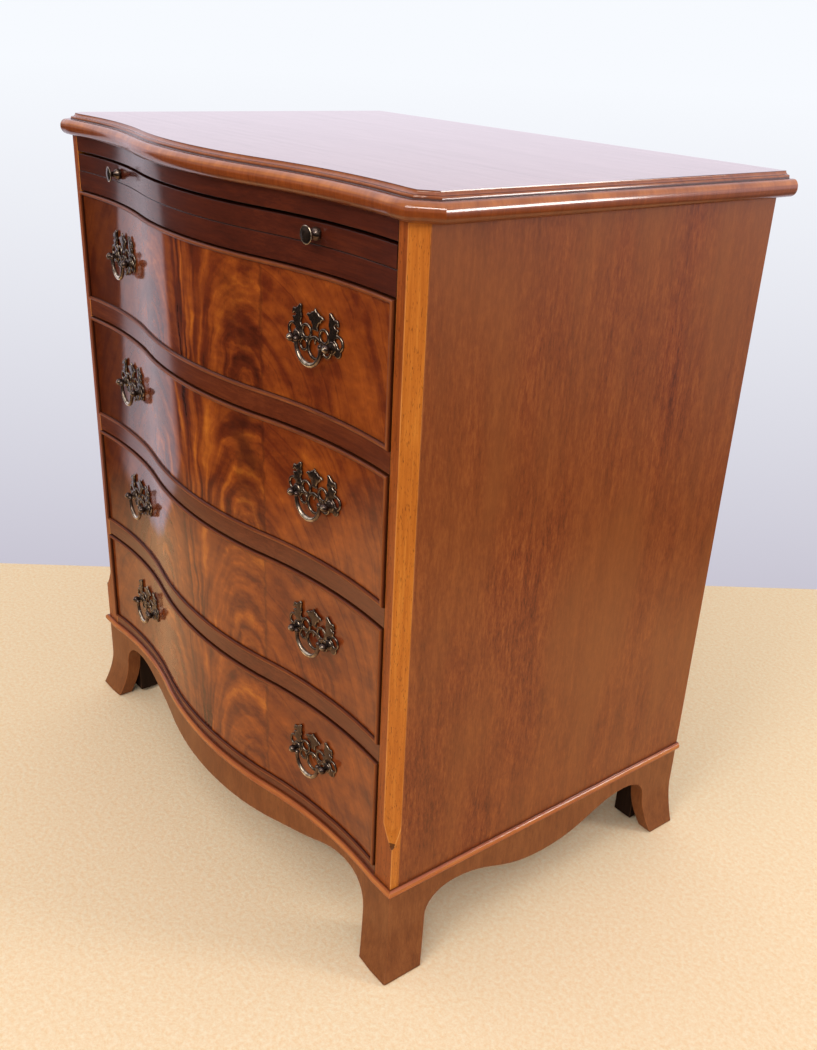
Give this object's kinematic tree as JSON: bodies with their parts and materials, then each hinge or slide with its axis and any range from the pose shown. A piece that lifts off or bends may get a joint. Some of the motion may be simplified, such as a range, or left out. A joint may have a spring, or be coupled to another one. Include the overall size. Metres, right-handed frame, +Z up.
{
  "type": "chest of drawers",
  "caption": "Serpentine-fronted mahogany chest of long drawers with a brushing slide, canted corners, pierced brass handles and shaped bracket feet.",
  "frame": {"origin": "on the floor, under the middle of the whole piece's bounding box", "axes": "+Z up, -Y towards the drawer fronts, +X to the right of someone facing the fronts"},
  "size_m": [0.678, 0.4714, 0.76],
  "materials": {
    "mahogany": "red-brown mahogany under a polished gloss varnish",
    "flame_mahogany": "flame-figured mahogany veneer under a polished gloss varnish",
    "post_mahogany": "straight-grained mahogany under a polished gloss varnish",
    "drawer_timber": "plain pale timber, planed and left unpolished",
    "back_timber": "plain stained board, matt",
    "aged_brass": "dark patinated brass, rubbed bright on the edges"
  },
  "bodies": {
    "case": {"top": "mahogany", "side_left": "mahogany", "side_right": "mahogany", "corner_post_left": "post_mahogany", "corner_post_right": "post_mahogany", "back_panel": "back_timber", "frieze_rail": "mahogany", "slide_rail": "mahogany", "divider_rail_1": "mahogany", "divider_rail_2": "mahogany", "divider_rail_3": "mahogany", "bottom_board": "mahogany", "runners": "drawer_timber", "guides": "drawer_timber", "drawer_stops": "drawer_timber", "base_moulding": "mahogany", "plinth_front": "mahogany", "plinth_left": "mahogany", "plinth_right": "mahogany", "rear_brackets": "back_timber", "foot_blocks": "drawer_timber"},
    "brushing_slide": {"slide_board": "mahogany", "slide_lipping": "mahogany", "slide_knobs": "aged_brass"},
    "drawer_1": {"drawer_1_front": "flame_mahogany", "drawer_1_cockbead": "mahogany", "drawer_1_sides": "drawer_timber", "drawer_1_back": "drawer_timber", "drawer_1_bottom": "drawer_timber", "drawer_1_backplates": "aged_brass", "drawer_1_handle_posts": "aged_brass"},
    "drawer_1_bail_left": {"drawer_1_bail_left": "aged_brass"},
    "drawer_1_bail_right": {"drawer_1_bail_right": "aged_brass"},
    "drawer_2": {"drawer_2_front": "flame_mahogany", "drawer_2_cockbead": "mahogany", "drawer_2_sides": "drawer_timber", "drawer_2_back": "drawer_timber", "drawer_2_bottom": "drawer_timber", "drawer_2_backplates": "aged_brass", "drawer_2_handle_posts": "aged_brass"},
    "drawer_2_bail_left": {"drawer_2_bail_left": "aged_brass"},
    "drawer_2_bail_right": {"drawer_2_bail_right": "aged_brass"},
    "drawer_3": {"drawer_3_front": "flame_mahogany", "drawer_3_cockbead": "mahogany", "drawer_3_sides": "drawer_timber", "drawer_3_back": "drawer_timber", "drawer_3_bottom": "drawer_timber", "drawer_3_backplates": "aged_brass", "drawer_3_handle_posts": "aged_brass"},
    "drawer_3_bail_left": {"drawer_3_bail_left": "aged_brass"},
    "drawer_3_bail_right": {"drawer_3_bail_right": "aged_brass"},
    "drawer_4": {"drawer_4_front": "flame_mahogany", "drawer_4_cockbead": "mahogany", "drawer_4_sides": "drawer_timber", "drawer_4_back": "drawer_timber", "drawer_4_bottom": "drawer_timber", "drawer_4_backplates": "aged_brass", "drawer_4_handle_posts": "aged_brass"},
    "drawer_4_bail_left": {"drawer_4_bail_left": "aged_brass"},
    "drawer_4_bail_right": {"drawer_4_bail_right": "aged_brass"}
  },
  "joints": [
    {"name": "slide_out", "type": "slide", "parent": "case", "child": "brushing_slide", "axis": [0, -1, 0], "range_m": [0, 0.26]},
    {"name": "drawer_1_out", "type": "slide", "parent": "case", "child": "drawer_1", "axis": [0, -1, 0], "range_m": [0, 0.3]},
    {"name": "drawer_1_bail_left_lift", "type": "hinge", "parent": "drawer_1", "child": "drawer_1_bail_left", "pos_m": [-0.19078, -0.21029, 0.62055], "axis": [-0.9954, 0.0956, 0], "range_deg": [0, 95]},
    {"name": "drawer_1_bail_right_lift", "type": "hinge", "parent": "drawer_1", "child": "drawer_1_bail_right", "pos_m": [0.19078, -0.21029, 0.62055], "axis": [-0.9954, -0.0956, 0], "range_deg": [0, 95]},
    {"name": "drawer_2_out", "type": "slide", "parent": "case", "child": "drawer_2", "axis": [0, -1, 0], "range_m": [0, 0.3]},
    {"name": "drawer_2_bail_left_lift", "type": "hinge", "parent": "drawer_2", "child": "drawer_2_bail_left", "pos_m": [-0.19078, -0.21029, 0.47655], "axis": [-0.9954, 0.0956, 0], "range_deg": [0, 95]},
    {"name": "drawer_2_bail_right_lift", "type": "hinge", "parent": "drawer_2", "child": "drawer_2_bail_right", "pos_m": [0.19078, -0.21029, 0.47655], "axis": [-0.9954, -0.0956, 0], "range_deg": [0, 95]},
    {"name": "drawer_3_out", "type": "slide", "parent": "case", "child": "drawer_3", "axis": [0, -1, 0], "range_m": [0, 0.3]},
    {"name": "drawer_3_bail_left_lift", "type": "hinge", "parent": "drawer_3", "child": "drawer_3_bail_left", "pos_m": [-0.19078, -0.21029, 0.33255], "axis": [-0.9954, 0.0956, 0], "range_deg": [0, 95]},
    {"name": "drawer_3_bail_right_lift", "type": "hinge", "parent": "drawer_3", "child": "drawer_3_bail_right", "pos_m": [0.19078, -0.21029, 0.33255], "axis": [-0.9954, -0.0956, 0], "range_deg": [0, 95]},
    {"name": "drawer_4_out", "type": "slide", "parent": "case", "child": "drawer_4", "axis": [0, -1, 0], "range_m": [0, 0.3]},
    {"name": "drawer_4_bail_left_lift", "type": "hinge", "parent": "drawer_4", "child": "drawer_4_bail_left", "pos_m": [-0.19078, -0.21029, 0.18855], "axis": [-0.9954, 0.0956, 0], "range_deg": [0, 95]},
    {"name": "drawer_4_bail_right_lift", "type": "hinge", "parent": "drawer_4", "child": "drawer_4_bail_right", "pos_m": [0.19078, -0.21029, 0.18855], "axis": [-0.9954, -0.0956, 0], "range_deg": [0, 95]}
  ]
}
